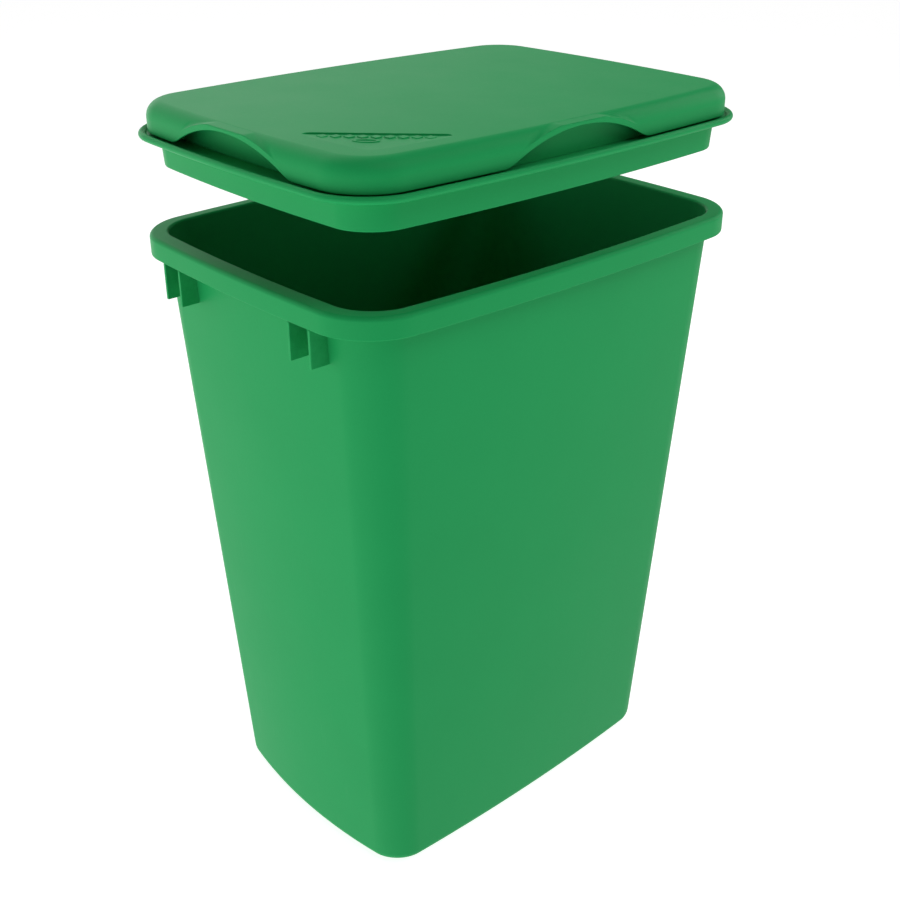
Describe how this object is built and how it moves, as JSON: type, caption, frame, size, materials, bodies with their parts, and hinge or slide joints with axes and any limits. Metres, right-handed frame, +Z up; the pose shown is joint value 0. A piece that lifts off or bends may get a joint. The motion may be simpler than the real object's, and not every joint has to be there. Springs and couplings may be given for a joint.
{
  "type": "waste bin with lift-off lid",
  "caption": "Tall tapered rectangular plastic waste bin with bowed sides, a turned-down rim with paired hanging fins, and a lift-off lid with arched finger notches.",
  "frame": {"origin": "middle of the flat floor face that the bin stands on", "axes": "+Z up, long axis of the bin along Y, the two short sides with the hanging fins face -Y and +Y, the long sides face -X and +X"},
  "size_m": [0.278, 0.376, 0.5654],
  "materials": {
    "bin_plastic": "satin moulded polypropylene, green",
    "lid_plastic": "satin moulded polypropylene, green"
  },
  "bodies": {
    "bin": {"bin_body": "bin_plastic", "rim_fins": "bin_plastic"},
    "lid": {"lid_frame": "lid_plastic", "lid_cover": "lid_plastic"}
  },
  "joints": [
    {"name": "lid_lift", "type": "slide", "parent": "bin", "child": "lid", "axis": [0, 0, 1], "range_m": [-0.0669, 0.1]}
  ]
}
